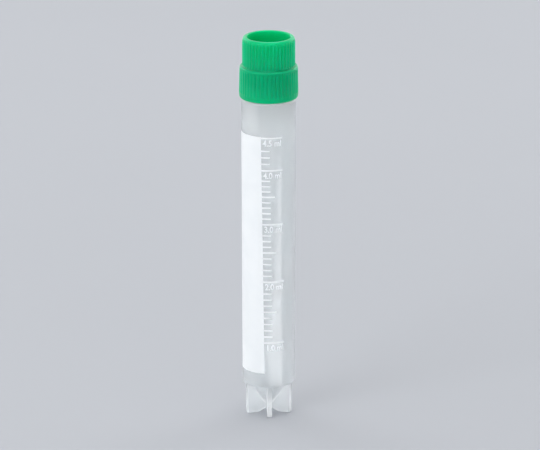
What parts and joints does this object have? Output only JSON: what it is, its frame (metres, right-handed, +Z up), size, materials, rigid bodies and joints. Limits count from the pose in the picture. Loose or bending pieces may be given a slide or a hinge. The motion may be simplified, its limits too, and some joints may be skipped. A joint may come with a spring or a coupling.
{
  "type": "cryovial",
  "caption": "Self-standing cryogenic storage vial: translucent graduated tube on a star foot, closed by a ribbed screw cap with an open recess for a colour insert.",
  "frame": {"origin": "on the vial's axis, on the surface that the star foot stands on", "axes": "+Z up along the tube towards the cap, -Y towards the viewer who reads the graduation"},
  "size_m": [0.0135, 0.0134, 0.0901],
  "materials": {
    "vial_plastic": "frosted translucent polypropylene with white print",
    "silicone": "smooth translucent silicone",
    "cap_plastic": "green moulded polyethylene, satin"
  },
  "bodies": {
    "tube": {"vial": "vial_plastic"},
    "seal": {"seal_ring": "silicone"},
    "cap": {"screw_cap": "cap_plastic"}
  },
  "joints": [
    {"name": "cap_lift", "type": "slide", "parent": "tube", "child": "seal", "axis": [0, 0, 1], "range_m": [0, 0.0075]},
    {"name": "cap_turn", "type": "hinge", "parent": "seal", "child": "cap", "pos_m": [0, 0, 0.083], "axis": [0, 0, 1], "range_deg": [0, 451]}
  ],
  "couplings": [
    {"joint": "cap_turn", "follows": "cap_lift", "rad_per_m": 1047.2}
  ]
}
